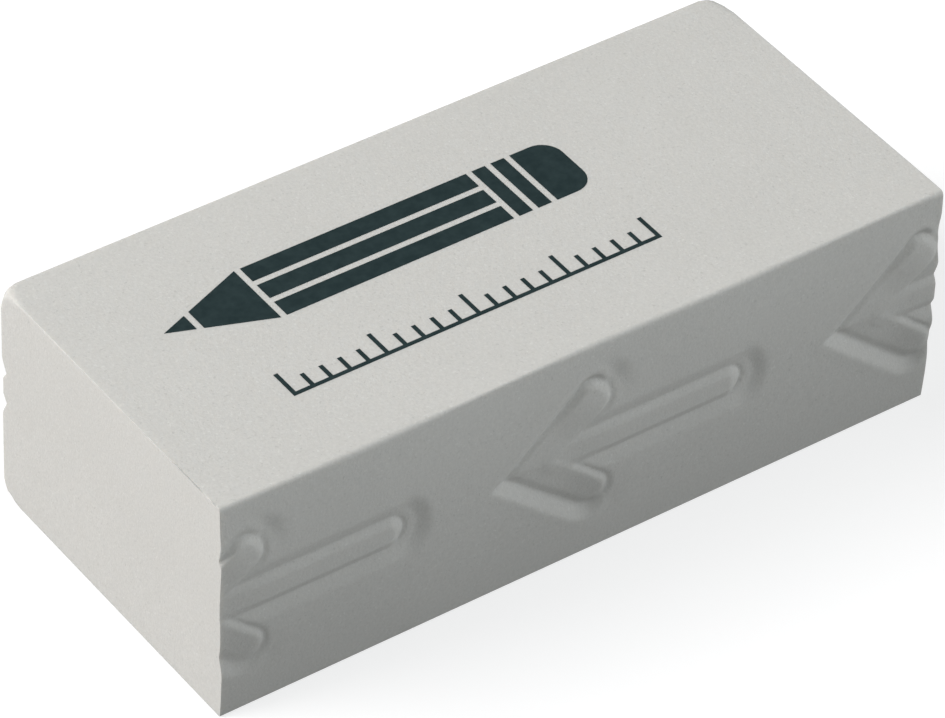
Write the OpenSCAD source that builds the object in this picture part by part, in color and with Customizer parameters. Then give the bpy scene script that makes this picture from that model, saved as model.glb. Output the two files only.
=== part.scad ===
// White block eraser: a vinyl bar with arrow ribs pressed into both long sides, cut square at both ends.
// X runs along the bar, Y across it and Z up. The origin is the centre of the underside.

/* [Block] */
// Length between the two cut ends
body_l = 40; // [24:0.5:80]
// Width between the two long sides
body_w = 18; // [12:0.1:30]
// Height from the underside to the top
body_h = 12.3; // [11:0.1:20]

/* [Long edges] */
// Radius of the top edge on the front side
front_top_r = 0.4; // [0.1:0.1:1.5]
// Radius of the bottom edge on the front side
front_bottom_r = 0.1; // [0.1:0.1:1.5]
// Radius of the top edge on the back side
back_top_r = 0.3; // [0.1:0.1:1.5]
// Radius of the bottom edge on the back side
back_bottom_r = 0.8; // [0.1:0.1:1.5]

/* [Arrow] */
// Half of the angle between the two barbs, in degrees
barb_angle = 40; // [30:1:55]
// Reach of a barb along the bar, from the point of the head to its round end
barb_reach = 3.4; // [2.5:0.1:5]
// Length of the shaft, from the point of the head to the round tail
shaft_l = 10.8; // [7:0.1:14]
// Width of the rounded rib that draws the arrow
rib_w = 1.94; // [1.2:0.02:2.4]
// Drop of the rib's crest below the flat of the side
crest_drop = 0.04; // [0.02:0.01:0.2]
// Depth of the crease on both sides of the rib
crease_depth = 0.35; // [0.25:0.01:0.6]
// Width of the slope from the crease up to the flat of the side
slope_w = 0.72; // [0.3:0.02:1]

/* [Arrow places] */
// Distance from one arrow to the next along the bar
arrow_pitch = 18.8; // [16:0.1:40]
// Height of the arrows' centre line above the underside
arrow_z = 6.45; // [5:0.05:8]
// Place of the middle arrow's point along the front side
front_point_x = -2.95; // [-9:0.05:9]
// Place of the middle arrow's point along the back side
back_point_x = -9.2; // [-9.4:0.05:9.4]

/* [Hidden] */
$fn = 96;
// Clearance by which a cutter runs past the face that it cuts
past = 0.5;
// Depth by which a slope carries on under the rib, so that the two cross cleanly
under = 0.1;
// Radius of the rib's round section: it meets the crease at half the rib's width
rib_depth = crease_depth - crest_drop;
rib_r = (rib_w * rib_w / 4 + rib_depth * rib_depth) / (2 * rib_depth);
// Steepness of the slope, as sideways run for each unit of depth
run = slope_w / crease_depth;
// Half width of the slope cutter above the face, and at its floor under the rib
wide = rib_w / 2 + slope_w + past * run;
narrow = rib_w / 2 - under * run;
floor_depth = crease_depth + under;
// Length of a barb along its own line, and of the long strips that make the mitred point
barb_l = barb_reach / cos(barb_angle);
strip_l = (wide + rib_r) / sin(barb_angle) + barb_l;
// Arrows on each side of the middle one that still reach the bar
arrows_each_way = ceil((body_l / 2 + shaft_l) / arrow_pitch) + 1;

// What a corner of radius r loses, with the corner at the origin and the section in the +X +Y quarter
module corner_loss(r) {
  difference() {
    translate([-past, -past])
      square(r + past);
    translate([r, r])
      circle(r);
  }
}

// Cross-section of the bar, front side at -X and underside at Y = 0
module section() {
  difference() {
    translate([-body_w / 2, 0])
      square([body_w, body_h]);
    translate([-body_w / 2, 0])
      corner_loss(front_bottom_r);
    translate([-body_w / 2, body_h])
      mirror([0, 1])
        corner_loss(front_top_r);
    translate([body_w / 2, 0])
      mirror([1, 0])
        corner_loss(back_bottom_r);
    translate([body_w / 2, body_h])
      rotate(180)
        corner_loss(back_top_r);
  }
}

module bar() {
  translate([-body_l / 2, 0, 0])
    rotate([90, 0, 90])
      linear_extrude(body_l)
        section();
}

// The arrow is drawn in its own frame: the face is z = 0, the bar is below it, and the head points to -X.

// Straight stretch of the slope cutter, from the origin along +X
module slope_strip(length) {
  rotate([90, 0, 90])
    linear_extrude(length)
      polygon([[-wide, past], [-narrow, -floor_depth], [narrow, -floor_depth], [wide, past]]);
}

// Round end of the slope cutter
module slope_end() {
  translate([0, 0, -floor_depth])
    cylinder(h = floor_depth + past, r1 = narrow, r2 = wide);
}

// Straight stretch of the rib, from the origin along +X
module rib_strip(length) {
  translate([0, 0, -crest_drop - rib_r])
    rotate([0, 90, 0])
      cylinder(h = length, r = rib_r);
}

// Round end of the rib
module rib_end() {
  translate([0, 0, -crest_drop - rib_r])
    sphere(rib_r);
}

// Slopes of the whole arrow, with the two barbs mitred at the point
module arrow_slopes() {
  slope_strip(shaft_l);
  translate([shaft_l, 0, 0])
    slope_end();
  for (side = [-1, 1])
    rotate(side * barb_angle) {
      slope_strip(barb_l);
      translate([barb_l, 0, 0])
        slope_end();
    }
  intersection_for(side = [-1, 1])
    rotate(side * barb_angle)
      translate([-strip_l, 0, 0])
        slope_strip(strip_l + barb_l);
}

// Rib of the whole arrow
module arrow_rib() {
  rib_strip(shaft_l);
  translate([shaft_l, 0, 0])
    rib_end();
  for (side = [-1, 1])
    rotate(side * barb_angle) {
      rib_strip(barb_l);
      translate([barb_l, 0, 0])
        rib_end();
    }
  intersection_for(side = [-1, 1])
    rotate(side * barb_angle)
      translate([-strip_l, 0, 0])
        rib_strip(strip_l + barb_l);
}

// What one arrow takes out of the bar
module arrow_groove() {
  difference() {
    arrow_slopes();
    arrow_rib();
  }
}

// Row of arrows whose middle one has its point at point_x
module arrow_row(point_x) {
  for (i = [-arrows_each_way : arrows_each_way]) {
    x = point_x + i * arrow_pitch;
    if (x - wide / sin(barb_angle) < body_l / 2 && x + shaft_l + wide > -body_l / 2)
      translate([x, 0, 0])
        arrow_groove();
  }
}

// Block with both rows of arrows, which all point to -X
module eraser_block() {
  color("whitesmoke")
    difference() {
      bar();
      translate([0, -body_w / 2, arrow_z])
        rotate([90, 0, 0])
          arrow_row(front_point_x);
      translate([0, body_w / 2, arrow_z])
        rotate([-90, 0, 0])
          arrow_row(back_point_x);
    }
}

eraser_block();
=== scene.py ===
"""A white vinyl block eraser with arrow ribs pressed into both long sides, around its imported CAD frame.

Everything is in metres, in the frame of the part: X along the bar, Y across it, Z up, and the origin at the
centre of the underside. The front side is at -Y. Sizes are written in millimetres times MM.
"""
import math

import bpy
import numpy as np
from mathutils import Matrix, Vector


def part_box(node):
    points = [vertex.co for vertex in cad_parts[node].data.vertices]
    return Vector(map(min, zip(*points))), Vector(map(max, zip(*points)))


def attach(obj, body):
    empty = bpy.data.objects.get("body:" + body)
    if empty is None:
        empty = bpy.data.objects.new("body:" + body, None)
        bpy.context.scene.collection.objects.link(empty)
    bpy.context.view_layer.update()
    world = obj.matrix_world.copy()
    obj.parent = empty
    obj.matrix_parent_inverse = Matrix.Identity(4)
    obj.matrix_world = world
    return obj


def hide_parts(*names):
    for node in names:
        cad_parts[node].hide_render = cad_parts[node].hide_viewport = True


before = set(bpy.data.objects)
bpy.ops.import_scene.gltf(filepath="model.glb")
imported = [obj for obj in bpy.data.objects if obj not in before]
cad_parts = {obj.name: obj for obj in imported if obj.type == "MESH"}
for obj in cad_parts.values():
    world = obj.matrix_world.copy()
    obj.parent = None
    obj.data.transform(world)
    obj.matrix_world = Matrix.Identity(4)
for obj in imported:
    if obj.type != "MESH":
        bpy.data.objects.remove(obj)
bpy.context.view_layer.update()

MM = 0.001
NODE = "eraser_block"
low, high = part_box(NODE)
LENGTH = high.x - low.x
WIDTH = high.y - low.y
HEIGHT = high.z - low.z

# Long edges of the bar
FRONT_TOP_R = 0.24 * MM
FRONT_BOTTOM_R = 0.12 * MM
BACK_TOP_R = 0.3 * MM
BACK_BOTTOM_R = 0.72 * MM

# The front top edge is rounded a little more and a little less along its length
FRONT_TOP_SHARE = 0.9
WIDE_WAVE = 0.22
WIDE_WAVE_X = 2.9 * MM
FINE_WAVE = 0.14
FINE_WAVE_X = 1.7 * MM
FINE_WAVE_PHASE = 1.3

# Arrow lines. Each arrow has its point at u = v = 0 and its shaft along +u, which is +X, and v points up. The
# head's own point lies a little further to -X, and a little lower.
BARB_ANGLE = math.radians(40)
BARB_REACH = 3.2 * MM
BARB_LENGTH = BARB_REACH / math.cos(BARB_ANGLE)
SHAFT_LENGTH = 10.78 * MM
HEAD_HALF = 0.97 * MM
SHAFT_HALF = 0.88 * MM
HEAD_LEFT = 0.1 * MM
HEAD_DOWN = 0.1 * MM

# Rows of arrows. The stretch of a pitch that lies ahead of a point belongs to that point's arrow. The left
# arrow's head is pressed less deep, and the back row deeper than the front one.
ARROW_PITCH = 18.8 * MM
AHEAD_OF_POINT = ARROW_PITCH / 5
ARROW_Z = 6.52 * MM
FRONT_POINT_X = -2.95 * MM
BACK_POINT_X = -9.2 * MM
LEFT_ARROW_PRESS = 0.55
BACK_PRESS = 1.5

# Depth of the crease around the head, below the face. In these four groups, outer and lower end are the outer
# side and the round end of the lower barb, and upper and end are those of the upper barb.
OUTER_CREASE = 0.43 * MM
UPPER_CREASE = 0.37 * MM
END_CREASE = 0.24 * MM
LOWER_END_CREASE = 0.18 * MM
INNER_CREASE = 0.35 * MM
INNER_CREASE_FADE = 0.6

# Height of the head's crest over the face, outside and inside, and its rise towards the round ends
OUTER_CREST = -0.32 * MM
UPPER_CREST = -0.22 * MM
INNER_CREST = -0.16 * MM
END_RISE = 0.2 * MM
ROUND_END_SHARE = 0.4
BARB_BLEND = 0.3 * MM
SOFT_MIDDLE = 0.8 * HEAD_HALF

# Width of the wall from the head's crease up to the face
OUTER_WALL = 0.7 * MM
UPPER_WALL = 0.65 * MM
END_WALL = 0.22 * MM
LOWER_END_WALL = 0.45 * MM
INNER_WALL = 0.768 * MM
INNER_END_WALL = 0.288 * MM

# Width of the shoulder from the head's crest down to the crease
OUTER_SHOULDER = 0.45 * MM
UPPER_SHOULDER = 0.2 * MM
END_SHOULDER = 0.5 * MM
INNER_SHOULDER = 0.32 * MM

# Low lip along the outer sides of the head, and the innerness at which it starts to fade and is gone
LIP_HEIGHT = 0.035 * MM
LIP_WIDTH = 0.25 * MM
LIP_FULL = 0.1
LIP_GONE = 0.5

# Shaft: its crest is just below the face and sinks towards the head, between soft slopes
SHAFT_CREASE = 0.26 * MM
SHAFT_CREST = -0.06 * MM
SHAFT_NECK_CREST = -0.18 * MM
SHAFT_START = 1.2 * MM
SHAFT_SLOPE = 0.85 * MM
SHAFT_SLOPE_POWER = 1.2
SHAFT_SLOPE_LIMIT = 1.6
SHAFT_SHOULDER = 0.46 * MM
NECK_START = 1.6 * MM
NECK_END = 4.5 * MM
SLOPES_START = 0.6 * MM
SLOPES_FULL = 1.8 * MM

# Round tail of the shaft
TAIL_CREASE = 0.38 * MM
TAIL_WALL = 0.13 * MM
TAIL_SHOULDER = 0.7 * MM
TAIL_SOFT_MIDDLE = 0.2 * SHAFT_HALF

# Hollow and fine bead around each round end, past the steep wall. The head's two have a share of the hollow.
HOLLOW_DEPTH = 0.26 * MM
HOLLOW_START = 0.4 * MM
HOLLOW_END = 1.55 * MM
UPPER_HOLLOW = 0.8
LOWER_HOLLOW = 0.3
BEAD_HEIGHT = 0.02 * MM
BEAD_WIDTH = 0.09 * MM

# Shape of a rib's shoulder, its slope past the crease, and where a wall's line starts and ends, in its widths
SHOULDER_POWER = 1.3
SLOPE_PAST_CREASE = 4.0
WALL_FROM = -1
WALL_TO = 9

# Softness where two parts of the relief meet
CREASE_SOFT = 0.06 * MM
JOIN_SOFT = 0.12 * MM
SHOULDER_SOFT = 0.06 * MM

# Cut ends: neither is cut quite square. A lean is how far the front edge stands past the back one.
CUT_EDGE_R = 0.015 * MM
EDGE_SUPPORT = 0.03 * MM
BLEND_ZONE = 2 * MM
LEFT_TRIM = 0.05 * MM
LEFT_LEAN_BOTTOM = -0.036 * MM
LEFT_LEAN_TOP = 0.132 * MM
RIGHT_LEAN_BOTTOM = -0.15 * MM
RIGHT_LEAN_TOP = -0.015 * MM

# Worn back corners
CORNER_R = 0.65 * MM
CORNER_REACH = 1.0 * MM

# Long sides: the front is bowed, leans back and waves along its top edge, and the back leans in below
SIDE_BULGE = 0.2 * MM
SIDE_PROUD = 0.12 * MM
BACK_LEAN = 0.1 * MM
TOP_SET_BACK = 0.14 * MM
EDGE_WAVE = 0.06 * MM
EDGE_WAVE_X = 3.1 * MM
EDGE_WAVE_PHASE = 0.65

# Ink, let into the top face of the CAD: the vinyl lies one film below it
INK_FILM = 0.01 * MM
INK_DEPTH = 0.03 * MM

# How fast the shape of a long side fades out across the bar, and its relief over the rounded edges
ACROSS_POWER = 3
FACING_POWER = 4

# Mesh density. The middle pull draws the lines of a long side together at the height of the arrows.
STATIONS = 345
SIDE_STEPS = 104
TOP_STEPS = 16
ARC_STEPS = 4
END_RINGS = 2
MIDDLE_PULL = 0.045
CAP_ROWS = SIDE_STEPS + ARC_STEPS
CAP_COLUMNS = TOP_STEPS + ARC_STEPS

# Sizes of what shows on the vinyl and the ink, and depths of the bumps
CLOUD_SIZE = 5 * MM
GRAIN_SIZE = 0.16 * MM
SPECK_SIZE = 0.13 * MM
INK_PATCH_SIZE = 0.5 * MM
WIDE_BUMP_SIZE = 1.3 * MM
WIDE_BUMP_DEPTH = 0.05 * MM
FINE_BUMP_SIZE = 0.12 * MM
FINE_BUMP_DEPTH = 0.015 * MM
INK_BUMP_DEPTH = 0.006 * MM
LIGHT_DEPTH = 1.0 * MM

# Colours
VINYL_DULL = (0.622, 0.615, 0.586)
VINYL_BRIGHT = (0.635, 0.628, 0.599)
LIGHT_SPECK = (0.645, 0.643, 0.615)
DARK_SPECK = (0.52, 0.515, 0.49)
INK_FULL = (0.012, 0.026, 0.028)
INK_THIN = (0.022, 0.040, 0.042)
WARM_LIGHT = (1.005, 0.985, 0.98)
COOL_LIGHT = (0.96, 1.0, 1.03)
SURROUND = (0.965, 1.0, 0.99)

# Lights: where they are, as seen from the block, and how wide they are
KEY_DIRECTION = (-1.017, 0.556, 0.73)
FILL_DIRECTION = (0.9, -1.0, 0.85)
LIGHT_SIZE = 0.6

# Floor: half of its width, and its level just under the block
FLOOR_REACH = 3.0
FLOOR_LEVEL = -0.02 * MM

# Camera, which looks from the block's front left with a long lens, and is turned a little about its own axis
CAMERA_AZIMUTH = math.radians(-37.46)
CAMERA_ELEVATION = math.radians(40.747)
CAMERA_ROLL = math.radians(2.977)
CAMERA_DISTANCE = 284.59 * MM
CAMERA_LEFT = 0.069 * MM
CAMERA_DOWN = 0.778 * MM
LENS_IN_MM = 235.8933
SENSOR_IN_MM = 36


# --- Helpers for values ---

def smooth_min(a, b, k):
    """The smaller of a and b, rounded over where they are within k of each other."""
    near = np.clip(1 - np.abs(a - b) / k, 0, 1)
    return np.minimum(a, b) - near * near * k / 4


def smooth_max(a, b, k):
    """The larger of a and b, rounded over where they are within k of each other."""
    return -smooth_min(-a, -b, k)


def smooth_step(low_end, high_end, value):
    """A share that goes softly from 0 at low_end to 1 at high_end."""
    t = np.clip((value - low_end) / (high_end - low_end), 0, 1)
    return t * t * (3 - 2 * t)


def blend(start, end, share):
    """A value that goes evenly from start to end while share goes from 0 to 1."""
    return start + (end - start) * share


def between(share, outer, middle, inner):
    """A value that goes softly from outer through middle to inner while share goes from 0 to 1."""
    first_half = blend(outer, middle, smooth_step(0, 0.5, share))
    second_half = blend(middle, inner, smooth_step(0.5, 1, share))
    return np.where(share < 0.5, first_half, second_half)


# --- Relief of the arrows ---

def rib_height(distance, half, crease, crest, shoulder):
    """Height of a rib at a distance from its centre line: flat on top, with a shoulder down to each side."""
    rise = np.clip((half - distance) / shoulder, 0, 1)
    past = np.maximum(distance - half, 0) * SLOPE_PAST_CREASE
    return -crease + (crease + crest) * (1 - (1 - rise) ** SHOULDER_POWER) - past


def ends_ground(out, crease, wall, endness):
    """Ground past a crease: a steep wall, then at a round end a fine bead and a wide shallow hollow."""
    hollow = -HOLLOW_DEPTH * endness * (1 - smooth_step(HOLLOW_START, HOLLOW_END, out))
    bead = BEAD_HEIGHT * endness * np.exp(-((out - HOLLOW_START) / BEAD_WIDTH) ** 2)
    steep = -crease * (1 - np.clip(out / wall, WALL_FROM, WALL_TO))
    return smooth_min(steep, hollow + bead, SHOULDER_SOFT)


def head_place(u, v):
    """Where (u, v) is on the head: across the barb's line (inside is below 0), along it and from it."""
    across = -u * math.sin(BARB_ANGLE) + np.abs(v) * math.cos(BARB_ANGLE)
    along = u * math.cos(BARB_ANGLE) + np.abs(v) * math.sin(BARB_ANGLE)
    distance = np.hypot(across, np.maximum(along - BARB_LENGTH, 0))
    return across, along, distance


def head_rib(distance, upper, innerness, towards_end, crease, press):
    """Rib of the head: deepest along the outer side of its lower barb, and rising to its round ends."""
    outer_crest = press * blend(OUTER_CREST, UPPER_CREST, upper)
    rise = END_RISE * towards_end * blend(innerness, 1, upper)
    crest = blend(outer_crest, INNER_CREST, innerness) + rise
    outer_shoulder = blend(OUTER_SHOULDER, UPPER_SHOULDER, upper)
    shoulder = between(innerness, outer_shoulder, END_SHOULDER, INNER_SHOULDER)
    return rib_height(distance, HEAD_HALF, crease, crest, shoulder)


def head_ground(out, upper, innerness, towards_end, crease):
    """Ground around the head: walls up to the face, hollows past its ends and a lip along its outer sides."""
    outer_wall = blend(OUTER_WALL, UPPER_WALL, upper)
    end_wall = blend(LOWER_END_WALL, END_WALL, upper)
    inner_wall = blend(INNER_WALL, INNER_END_WALL, towards_end)
    wall = between(innerness, outer_wall, end_wall, inner_wall)
    endness = 1 - np.abs(2 * innerness - 1)
    ground = ends_ground(out, crease, wall, endness * blend(LOWER_HOLLOW, UPPER_HOLLOW, upper))
    outerness = 1 - smooth_step(LIP_FULL, LIP_GONE, innerness)
    lip = LIP_HEIGHT * outerness * np.exp(-((out - wall - LIP_WIDTH / 2) / LIP_WIDTH) ** 2)
    return ground + lip


def head_relief(u, v, press):
    """Rib and outer ground of the head: a band along both barbs, mitred at the point, with round ends."""
    across, along, distance = head_place(u, v)
    upper = smooth_step(-BARB_BLEND, BARB_BLEND, v)
    innerness = 0.5 - 0.5 * across / np.maximum(distance, SOFT_MIDDLE)
    towards_end = smooth_step(ROUND_END_SHARE * BARB_LENGTH, BARB_LENGTH, along)
    outer_crease = press * blend(OUTER_CREASE, UPPER_CREASE, upper)
    end_crease = blend(LOWER_END_CREASE, END_CREASE, upper)
    inner_crease = INNER_CREASE * (1 - INNER_CREASE_FADE * towards_end)
    crease = between(innerness, outer_crease, end_crease, inner_crease)
    rib = head_rib(distance, upper, innerness, towards_end, crease, press)
    ground = head_ground(distance - HEAD_HALF, upper, innerness, towards_end, crease)
    return rib, ground


def shaft_relief(u, v):
    """Rib and outer ground of the shaft, with a fine bead around its round tail."""
    beyond = np.maximum(u - SHAFT_LENGTH, 0)
    before = np.maximum(SHAFT_START - u, 0)
    distance = np.hypot(beyond + before, v)
    tail = smooth_step(0, 1, beyond / np.maximum(distance, TAIL_SOFT_MIDDLE))
    neck = 1 - smooth_step(NECK_START, NECK_END, u)
    crest = blend(SHAFT_CREST, SHAFT_NECK_CREST, neck)
    crease = blend(SHAFT_CREASE, TAIL_CREASE, tail)
    shoulder = blend(SHAFT_SHOULDER, TAIL_SHOULDER, tail)
    rib = rib_height(distance, SHAFT_HALF, crease, crest, shoulder)
    out = distance - SHAFT_HALF
    slope = -SHAFT_CREASE * np.clip(1 - out / SHAFT_SLOPE, 0, SHAFT_SLOPE_LIMIT) ** SHAFT_SLOPE_POWER
    ground = blend(slope, ends_ground(out, crease, TAIL_WALL, 1.0), tail)
    return rib, ground * smooth_step(SLOPES_START, SLOPES_FULL, u)


def relief(u, v, press):
    """Height of the side face at (u, v) from an arrow's point. Press scales the head's outer side."""
    rib_of_head, ground_of_head = head_relief(u + HEAD_LEFT, v + HEAD_DOWN, press)
    rib_of_shaft, ground_of_shaft = shaft_relief(u, v)
    rib = smooth_max(rib_of_head, rib_of_shaft, JOIN_SOFT)
    ground = smooth_min(ground_of_head, ground_of_shaft, SHOULDER_SOFT)
    return smooth_max(rib, ground, CREASE_SOFT)


def side_relief(x, z, point_x):
    """Height of a long side's face at (x, z), for the row of arrows whose middle point is at point_x."""
    place = x - point_x + AHEAD_OF_POINT
    press = np.where(place < 0, LEFT_ARROW_PRESS, 1)
    return relief(place % ARROW_PITCH - AHEAD_OF_POINT, z - ARROW_Z, press)


# --- The block, as rings of vertices along X and a cap at each end ---

def arc(centre_y, centre_z, radius, start):
    """Points and normals of a quarter arc from the angle start, turning by -90 degrees."""
    angle = math.radians(start) - np.linspace(0, math.pi / 2, ARC_STEPS + 1)
    normal = np.stack([np.cos(angle), np.sin(angle)], 1)
    return np.array([centre_y, centre_z]) + radius * normal, normal


def straight(start, end, normal, upright):
    """Points strictly between start and end: closer in the middle if upright, and at the ends if not."""
    steps = SIDE_STEPS if upright else TOP_STEPS
    t = np.linspace(0, 1, steps + 1)[1:-1]
    if upright:
        t = t + MIDDLE_PULL * np.sin(2 * math.pi * t)
    else:
        t = 0.5 - 0.5 * np.cos(math.pi * t)
    points = np.outer(1 - t, start) + np.outer(t, end)
    return points, np.tile(normal, (len(t), 1))


def towards_front(y):
    """A share that is 0 from the middle of the bar backwards, and goes to 1 at the front side."""
    return np.clip(-2 * y / WIDTH, 0, 1) ** ACROSS_POWER


def section(front_top_r):
    """Outline of the bar across X, as points (y, z) and normals, from the middle of the front bottom arc."""
    half = WIDTH / 2
    top = HEIGHT - INK_FILM
    arcs = [arc(-half + FRONT_BOTTOM_R, FRONT_BOTTOM_R, FRONT_BOTTOM_R, 270),
            arc(-half + front_top_r, top - front_top_r, front_top_r, 180),
            arc(half - BACK_TOP_R, top - BACK_TOP_R, BACK_TOP_R, 90),
            arc(half - BACK_BOTTOM_R, BACK_BOTTOM_R, BACK_BOTTOM_R, 0)]
    straight_normals = [(-1, 0), (0, 1), (1, 0), (0, -1)]
    points = []
    normals = []
    for i, (arc_points, arc_normals) in enumerate(arcs):
        next_start = arcs[(i + 1) % 4][0][0]
        run, run_normals = straight(arc_points[-1], next_start, straight_normals[i], i % 2 == 0)
        points += [arc_points, run]
        normals += [arc_normals, run_normals]
    points = np.concatenate(points)
    normals = np.concatenate(normals)
    bow = SIDE_BULGE * (2 * points[:, 1] / HEIGHT - 1) ** 2 - SIDE_PROUD
    points[:, 0] += towards_front(points[:, 0]) * bow
    half_arc = ARC_STEPS // 2
    return np.roll(points, -half_arc, 0), np.roll(normals, -half_arc, 0)


def front_top_radius(x):
    """Radius of the front top edge at x."""
    wide_wave = WIDE_WAVE * math.sin(x / WIDE_WAVE_X)
    fine_wave = FINE_WAVE * math.sin(x / FINE_WAVE_X + FINE_WAVE_PHASE)
    return FRONT_TOP_R * (FRONT_TOP_SHARE + wide_wave + fine_wave)


def end_place(y, z, side):
    """How far an end face lies from the middle of the bar."""
    frontness = 0.5 - y / WIDTH
    if side > 0:
        return LENGTH / 2 + frontness * blend(RIGHT_LEAN_BOTTOM, RIGHT_LEAN_TOP, z / HEIGHT)
    return LENGTH / 2 - LEFT_TRIM + frontness * blend(LEFT_LEAN_BOTTOM, LEFT_LEAN_TOP, z / HEIGHT)


def lean(x, y, z):
    """How far a long side stands back from its plane, along +Y."""
    wave = EDGE_WAVE * np.cos(x / EDGE_WAVE_X + EDGE_WAVE_PHASE) * smooth_step(HEIGHT / 2, HEIGHT, z)
    front = wave + TOP_SET_BACK * smooth_step(0, HEIGHT, z)
    back = BACK_LEAN * (1 - z / HEIGHT)
    return towards_front(y) * front - towards_front(-y) * back


def stations():
    """Where the rings are, as (side, x or angle, inset).

    Side is 0 at an x along the bar, and -1 or 1 at an angle of the rounding of that end's cut edge. One ring
    just inside each end of the bar and one on each end face hold the shading of the cut edge in place.
    """
    held = LENGTH / 2 - EDGE_SUPPORT
    regular = np.linspace(-LENGTH / 2, LENGTH / 2, STATIONS).tolist()
    regular = regular[:1] + [-held] + regular[1:-1] + [held] + regular[-1:]
    angles = np.linspace(0, math.pi / 2, END_RINGS + 1)[1:]
    turn = [(angle, 0) for angle in angles] + [(math.pi / 2, EDGE_SUPPORT)]
    left = [(-1, angle, inset) for angle, inset in reversed(turn)]
    right = [(1, angle, inset) for angle, inset in turn]
    return left + [(0, x, 0) for x in regular] + right


def ring_x(side, value, last):
    """X of a ring's vertices. Over the blend zone they go from a flat ring to the slant of the end, last."""
    if side:
        return side * (last + CUT_EDGE_R * math.sin(value))
    flat = LENGTH / 2 - BLEND_ZONE
    over = np.clip((abs(value) - flat) / BLEND_ZONE, 0, 1)
    return np.sign(value) * (np.minimum(abs(value), flat) + over * (last - flat))


def ring(side, value, inset):
    """One outline of the bar at a station, with the relief on its long sides."""
    points, normals = section(front_top_radius(side * LENGTH / 2 if side else value))
    y, z = points.T
    across, up = normals.T
    x = ring_x(side, value, end_place(y, z, side or value) - CUT_EDGE_R)
    if side:
        inset += CUT_EDGE_R * (1 - math.cos(value))
    faces_front = np.clip(-across, 0, 1) ** FACING_POWER
    faces_back = np.clip(across, 0, 1) ** FACING_POWER
    front_height = faces_front * side_relief(x, z, FRONT_POINT_X)
    back_height = faces_back * BACK_PRESS * side_relief(x, z, BACK_POINT_X)
    shift = front_height + back_height - inset
    return np.stack([x, y + across * shift + lean(x, y, z), z + up * shift], 1)


def cap_points(outline, side):
    """Inner points of an end face, as rows from the front to the back that fill in its outline evenly."""
    front = outline[:CAP_ROWS + 1]
    top = outline[CAP_ROWS:CAP_ROWS + CAP_COLUMNS + 1]
    back = outline[CAP_ROWS + CAP_COLUMNS:2 * CAP_ROWS + CAP_COLUMNS + 1][::-1]
    bottom = np.concatenate([outline[2 * CAP_ROWS + CAP_COLUMNS:], outline[:1]])[::-1]
    s = np.linspace(0, 1, CAP_ROWS + 1)[:, None, None]
    t = ((top[:, 1] - top[0, 1]) / (top[-1, 1] - top[0, 1]))[None, :, None]
    sides = (1 - t) * front[:, None] + t * back[:, None]
    ends = (1 - s) * bottom[None] + s * top[None]
    low_corners = (1 - t) * front[0] + t * back[0]
    high_corners = (1 - t) * front[-1] + t * back[-1]
    grid = sides + ends - (1 - s) * low_corners - s * high_corners
    grid[..., 0] = side * end_place(grid[..., 1], grid[..., 2], side)
    return grid[1:-1, 1:-1]


def cap_faces(first_of_ring, first_inner, side):
    """Faces of an end face, which join the outline's vertices to the inner grid."""
    count = 2 * (CAP_ROWS + CAP_COLUMNS)

    def vertex(i, j):
        if j == 0:
            return first_of_ring + i
        if i == CAP_ROWS:
            return first_of_ring + CAP_ROWS + j
        if j == CAP_COLUMNS:
            return first_of_ring + 2 * CAP_ROWS + CAP_COLUMNS - i
        if i == 0:
            return first_of_ring + (count - j) % count
        return first_inner + (i - 1) * (CAP_COLUMNS - 1) + j - 1

    faces = []
    for i in range(CAP_ROWS):
        for j in range(CAP_COLUMNS):
            quad = (vertex(i, j), vertex(i, j + 1), vertex(i + 1, j + 1), vertex(i + 1, j))
            faces.append(quad if side > 0 else quad[::-1])
    return faces


def wear_corners(points):
    """The two back corners at each end are worn round."""
    worn = points.copy()
    tiny = 1e-9
    for corner_z, outward_z in ((0, -1), (HEIGHT, 1)):
        x, y, z = worn.T
        inward = np.stack([LENGTH / 2 - np.abs(x), WIDTH / 2 - y, np.abs(z - corner_z)], 1)
        outward = np.stack([np.sign(x), np.ones_like(y), np.full_like(z, outward_z)], 1)
        radius = CORNER_R * np.exp(-((inward / CORNER_REACH) ** 2).sum(1))[:, None]
        reach = np.maximum(radius - inward, 0)
        size = np.linalg.norm(reach, axis=1, keepdims=True)
        shrink = np.minimum(1, radius / np.maximum(size, tiny))
        worn -= reach * (1 - shrink) * outward
    return worn


def new_object(name, vertices, faces):
    """A mesh object with those vertices and faces."""
    mesh = bpy.data.meshes.new(name)
    mesh.from_pydata(np.asarray(vertices).tolist(), [], faces)
    mesh.validate()
    mesh.update()
    made = bpy.data.objects.new(name, mesh)
    bpy.context.scene.collection.objects.link(made)
    return made


def make_block():
    """The eraser itself, as one closed mesh."""
    rings = np.array([ring(*station) for station in stations()])
    n_rings, count = rings.shape[:2]
    vertices = [rings.reshape(-1, 3)]
    index = np.arange(n_rings * count).reshape(n_rings, count)
    next_along = np.roll(index, -1, 1)
    quads = np.stack([index[:-1], index[1:], next_along[1:], next_along[:-1]], -1)
    faces = quads.reshape(-1, 4).tolist()
    total = n_rings * count
    for side, ring_number in ((-1, 0), (1, n_rings - 1)):
        inner = cap_points(rings[ring_number], side).reshape(-1, 3)
        faces += cap_faces(ring_number * count, total, side)
        vertices.append(inner)
        total += len(inner)
    block = new_object("eraser_body", wear_corners(np.concatenate(vertices)), faces)
    block.data.polygons.foreach_set("use_smooth", [True] * len(block.data.polygons))
    block.data.update()
    return block


# --- Print on the top: a plain pencil mark above a ruled scale ---

def bar(x0, x1, y0, y1):
    """Outline of a rectangle."""
    return [(x0, y0), (x1, y0), (x1, y1), (x0, y1)]


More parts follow.
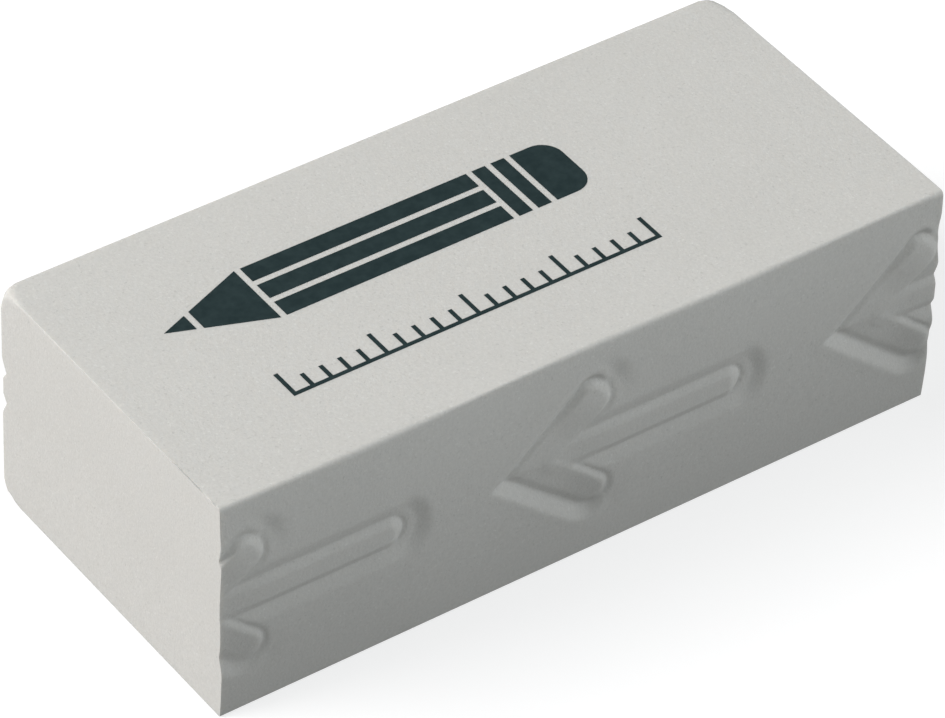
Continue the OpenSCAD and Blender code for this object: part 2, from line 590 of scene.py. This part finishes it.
def ink_mesh(name, outlines):
    """Flat ink shapes, each a thin closed prism that is let into the top face."""
    bottom = HEIGHT - INK_DEPTH
    vertices = []
    faces = []
    for outline in outlines:
        n = len(outline)
        first = len(vertices)
        vertices += [(x, y, bottom) for x, y in outline]
        vertices += [(x, y, HEIGHT) for x, y in outline]
        faces.append([first + n + i for i in range(n)])
        faces.append([first + i for i in reversed(range(n))])
        for i in range(n):
            after = (i + 1) % n
            faces.append([first + i, first + after, first + n + after, first + n + i])
    return new_object(name, vertices, faces)


def pencil_outlines():
    """A pencil that points to -X, drawn as solid shapes with thin gaps between them."""
    y = 2.3 * MM
    half = 1.9 * MM
    gap = 0.32 * MM
    tip_x = -15.6 * MM
    lead_x = -14.2 * MM
    cone_x = -10.6 * MM
    body_x = 2.2 * MM
    rubber_end_x = 6.9 * MM
    round_r = 1.1 * MM
    round_steps = 8
    ring_width = 0.75 * MM
    low_y = y - half
    high_y = y + half

    slope = half / (cone_x - tip_x)
    lead_half = slope * (lead_x - tip_x)
    cone_half = slope * (lead_x + gap - tip_x)
    lead = [(tip_x, y), (lead_x, y - lead_half), (lead_x, y + lead_half)]
    cone = [(lead_x + gap, y - cone_half), (cone_x, low_y), (cone_x, high_y), (lead_x + gap, y + cone_half)]

    strip = (2 * half - 2 * gap) / 3
    strip_starts = [low_y + i * (strip + gap) for i in range(3)]
    body = [bar(cone_x + gap, body_x, start, start + strip) for start in strip_starts]

    ring_starts = [body_x + gap + i * (ring_width + gap) for i in range(2)]
    ferrule = [bar(start, start + ring_width, low_y, high_y) for start in ring_starts]

    rubber_x = body_x + 2 * (ring_width + gap) + gap
    round_x = rubber_end_x - round_r
    round_y = low_y + round_r
    turns = np.linspace(-math.pi / 2, 0, round_steps + 1)
    lower = [(round_x + round_r * math.cos(turn), round_y + round_r * math.sin(turn)) for turn in turns]
    upper = [(x, 2 * y - below) for x, below in reversed(lower)]
    rubber = [(rubber_x, low_y)] + lower + upper + [(rubber_x, high_y)]
    return [lead, cone] + body + ferrule + [rubber]


def scale_outlines():
    """A ruled line with a tick at every millimetre and a longer one at every fifth."""
    first = -13
    last = 7
    line_y = -4.1 * MM
    thin = 0.22 * MM
    long_tick = 1.45 * MM
    short_tick = 0.85 * MM
    shapes = [bar(first * MM - thin / 2, last * MM + thin / 2, line_y - thin, line_y)]
    for mark in range(first, last + 1):
        tall = long_tick if (mark - first) % 5 == 0 else short_tick
        shapes.append(bar(mark * MM - thin / 2, mark * MM + thin / 2, line_y, line_y + tall))
    return shapes


# --- Helpers for materials ---

def node_material(name):
    """A new material with its node tree and its shader."""
    material = bpy.data.materials.new(name)
    material.use_nodes = True
    tree = material.node_tree
    return material, tree, tree.nodes["Principled BSDF"]


def noise(tree, size, detail, roughness=0.5):
    """A noise texture whose features are about that size, on the piece's own coordinates."""
    place = tree.nodes.new("ShaderNodeTexCoord")
    texture = tree.nodes.new("ShaderNodeTexNoise")
    texture.inputs["Scale"].default_value = 1 / size
    texture.inputs["Detail"].default_value = detail
    texture.inputs["Roughness"].default_value = roughness
    tree.links.new(place.outputs["Object"], texture.inputs["Vector"])
    return texture.outputs["Fac"]


def grey(value):
    """That grey as a colour."""
    return (value, value, value)


def ramp(tree, source, start, start_colour, end, end_colour):
    """A colour that goes from one to the other while the source goes from start to end."""
    node = tree.nodes.new("ShaderNodeValToRGB")
    stops = ((start, start_colour), (end, end_colour))
    for element, (place, colour) in zip(node.color_ramp.elements, stops):
        element.position = place
        element.color = (*colour, 1)
    tree.links.new(source, node.inputs["Fac"])
    return node.outputs["Color"]


def map_range(tree, source, start, end):
    """A value from 0 at start to 1 at end, held level outside of them."""
    node = tree.nodes.new("ShaderNodeMapRange")
    node.inputs["From Min"].default_value = start
    node.inputs["From Max"].default_value = end
    tree.links.new(source, node.inputs["Value"])
    return node.outputs["Result"]


def socket_of(sockets, name, kind):
    """The socket with that name and type, of a Mix node's many."""
    return next(socket for socket in sockets if socket.name == name and socket.type == kind)


def mix(tree, factor, a, b, blend_type="MIX"):
    """A colour mixed from a and b. Each input is an output of another node or a fixed value."""
    node = tree.nodes.new("ShaderNodeMix")
    node.data_type = "RGBA"
    node.blend_type = blend_type
    for name, kind, value in (("Factor", "VALUE", factor), ("A", "RGBA", a), ("B", "RGBA", b)):
        socket = socket_of(node.inputs, name, kind)
        if isinstance(value, bpy.types.NodeSocket):
            tree.links.new(value, socket)
        elif kind == "VALUE":
            socket.default_value = value
        else:
            socket.default_value = (*value, 1)
    return socket_of(node.outputs, "Result", "RGBA")


def bump(tree, layers):
    """Bump from several (texture output, strength, depth) layers, one on another."""
    normal = None
    for height, strength, depth in layers:
        node = tree.nodes.new("ShaderNodeBump")
        node.inputs["Strength"].default_value = strength
        node.inputs["Distance"].default_value = depth
        tree.links.new(height, node.inputs["Height"])
        if normal is not None:
            tree.links.new(normal, node.inputs["Normal"])
        normal = node.outputs["Normal"]
    return normal


# --- Materials ---

def painted_front_shade(tree):
    """Painted shade: a grey that is white but for the front side, where it darkens towards the underside."""
    place = tree.nodes.new("ShaderNodeTexCoord")
    position = tree.nodes.new("ShaderNodeSeparateXYZ")
    tree.links.new(place.outputs["Object"], position.inputs["Vector"])
    height = map_range(tree, position.outputs["Z"], 0, HEIGHT)
    # Painted shade: the colour goes down to 0.76 of itself at the underside
    lower = ramp(tree, height, 0.0, grey(0.76), 1.0, grey(1))
    facing = tree.nodes.new("ShaderNodeSeparateXYZ")
    tree.links.new(place.outputs["Normal"], facing.inputs["Vector"])
    front = map_range(tree, facing.outputs["Y"], -0.5, -0.8)
    return mix(tree, front, grey(1), lower)


def vinyl_colour(tree):
    """Off-white with faint clouds, a very fine grain, and pinpoint specks both lighter and darker, times a
    painted shade on the front side.
    """
    cloud = noise(tree, CLOUD_SIZE, 3)
    base = ramp(tree, cloud, 0.3, VINYL_DULL, 0.7, VINYL_BRIGHT)
    grain = noise(tree, GRAIN_SIZE, 3, 0.65)
    tone = ramp(tree, grain, 0.25, grey(0.88), 0.75, grey(1))
    base = mix(tree, 1.0, base, tone, "MULTIPLY")
    speck = noise(tree, SPECK_SIZE, 0)
    light = ramp(tree, speck, 0.74, grey(0), 0.82, grey(1))
    base = mix(tree, light, base, LIGHT_SPECK)
    dark = ramp(tree, speck, 0.17, grey(1), 0.25, grey(0))
    base = mix(tree, dark, base, DARK_SPECK)
    return mix(tree, 1.0, base, painted_front_shade(tree), "MULTIPLY")


def vinyl_material():
    """Matt white vinyl, which lets a little light in under its skin."""
    material, tree, shader = node_material("white_vinyl")
    tree.links.new(vinyl_colour(tree), shader.inputs["Base Color"])
    shader.inputs["Roughness"].default_value = 0.62
    shader.inputs["Specular IOR Level"].default_value = 0.3
    shader.inputs["Subsurface Weight"].default_value = 0.3
    shader.inputs["Subsurface Radius"].default_value = (0.5, 0.45, 0.4)
    shader.inputs["Subsurface Scale"].default_value = LIGHT_DEPTH
    wide = noise(tree, WIDE_BUMP_SIZE, 2)
    fine = noise(tree, FINE_BUMP_SIZE, 2, 0.6)
    normal = bump(tree, [(wide, 0.25, WIDE_BUMP_DEPTH), (fine, 1.0, FINE_BUMP_DEPTH)])
    tree.links.new(normal, shader.inputs["Normal"])
    return material


def ink_material():
    """Dark blue-green ink, a little thinner in places."""
    material, tree, shader = node_material("print_ink")
    patch = noise(tree, INK_PATCH_SIZE, 3, 0.6)
    base = ramp(tree, patch, 0.35, INK_FULL, 0.75, INK_THIN)
    tree.links.new(base, shader.inputs["Base Color"])
    shader.inputs["Roughness"].default_value = 0.6
    shader.inputs["Specular IOR Level"].default_value = 0.25
    fine = noise(tree, FINE_BUMP_SIZE, 2, 0.6)
    tree.links.new(bump(tree, [(fine, 0.3, INK_BUMP_DEPTH)]), shader.inputs["Normal"])
    return material


def floor_material():
    """A pale sheet that glows enough to look white, and is clear from behind."""
    material, tree, shader = node_material("pale_floor")
    shader.inputs["Base Color"].default_value = (*grey(0.42), 1)
    shader.inputs["Roughness"].default_value = 0.9
    shader.inputs["Specular IOR Level"].default_value = 0.0
    shader.inputs["Emission Color"].default_value = (*grey(1), 1)
    shader.inputs["Emission Strength"].default_value = 0.66
    clear = tree.nodes.new("ShaderNodeBsdfTransparent")
    geometry = tree.nodes.new("ShaderNodeNewGeometry")
    either = tree.nodes.new("ShaderNodeMixShader")
    tree.links.new(geometry.outputs["Backfacing"], either.inputs[0])
    tree.links.new(shader.outputs["BSDF"], either.inputs[1])
    tree.links.new(clear.outputs["BSDF"], either.inputs[2])
    output = next(node for node in tree.nodes if node.type == "OUTPUT_MATERIAL")
    tree.links.new(either.outputs["Shader"], output.inputs["Surface"])
    return material


# --- Stage, lights and camera ---

def make_floor():
    """A wide pale sheet just under the block. It is clear from below, so that the underside can be seen."""
    corners = [(x, y, FLOOR_LEVEL) for x, y in bar(-FLOOR_REACH, FLOOR_REACH, -FLOOR_REACH, FLOOR_REACH)]
    floor = new_object("floor", corners, [(0, 1, 2, 3)])
    floor.data.materials.append(floor_material())
    floor.visible_diffuse = False


def make_area_light(name, direction, distance, power, colour):
    """A square soft light that shines on the block from that direction."""
    data = bpy.data.lights.new(name, "AREA")
    data.shape = "SQUARE"
    data.size = LIGHT_SIZE
    data.energy = power
    data.color = colour
    light = bpy.data.objects.new(name, data)
    bpy.context.scene.collection.objects.link(light)
    away = Vector(direction).normalized()
    light.location = Vector((0, 0, HEIGHT / 2)) + distance * away
    light.rotation_euler = away.to_track_quat("Z", "Y").to_euler()


def make_world():
    """An even dim surround, which softens the shade."""
    world = bpy.data.worlds.new("studio")
    world.use_nodes = True
    background = world.node_tree.nodes["Background"]
    background.inputs["Color"].default_value = (*SURROUND, 1)
    background.inputs["Strength"].default_value = 0.175
    bpy.context.scene.world = world


def make_lights():
    """A warm key light from the back left, a cooler fill from the front right, and the surround."""
    make_world()
    make_area_light("key", KEY_DIRECTION, distance=0.8, power=8.65, colour=WARM_LIGHT)
    make_area_light("fill", FILL_DIRECTION, distance=2.0, power=19.6, colour=COOL_LIGHT)


def make_camera():
    """The camera of the photo, as it was found from the outline of the block."""
    back = Vector((math.sin(CAMERA_AZIMUTH) * math.cos(CAMERA_ELEVATION),
                   -math.cos(CAMERA_AZIMUTH) * math.cos(CAMERA_ELEVATION),
                   math.sin(CAMERA_ELEVATION)))
    level_right = Vector((math.cos(CAMERA_AZIMUTH), math.sin(CAMERA_AZIMUTH), 0))
    level_up = back.cross(level_right)
    right = math.cos(CAMERA_ROLL) * level_right + math.sin(CAMERA_ROLL) * level_up
    up = math.cos(CAMERA_ROLL) * level_up - math.sin(CAMERA_ROLL) * level_right
    centre = Vector((0, (SIDE_BULGE - SIDE_PROUD) / 2, HEIGHT / 2))
    place = centre - CAMERA_LEFT * right - CAMERA_DOWN * up + CAMERA_DISTANCE * back
    data = bpy.data.cameras.new("camera")
    data.sensor_width = SENSOR_IN_MM
    data.lens = LENS_IN_MM
    data.clip_start = 0.01
    camera = bpy.data.objects.new("camera", data)
    bpy.context.scene.collection.objects.link(camera)
    rotation = Matrix((right, up, back)).transposed().to_4x4()
    camera.matrix_world = Matrix.Translation(place) @ rotation
    bpy.context.scene.camera = camera


# --- The scene ---

block = make_block()
block.data.materials.append(vinyl_material())
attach(block, "root")
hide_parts(NODE)

ink = ink_material()
for piece_name, outlines in (("print_pencil", pencil_outlines()), ("print_scale", scale_outlines())):
    piece = ink_mesh(piece_name, outlines)
    piece.data.materials.append(ink)
    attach(piece, "root")

make_floor()
make_lights()
make_camera()
bpy.context.scene.view_settings.view_transform = "Standard"
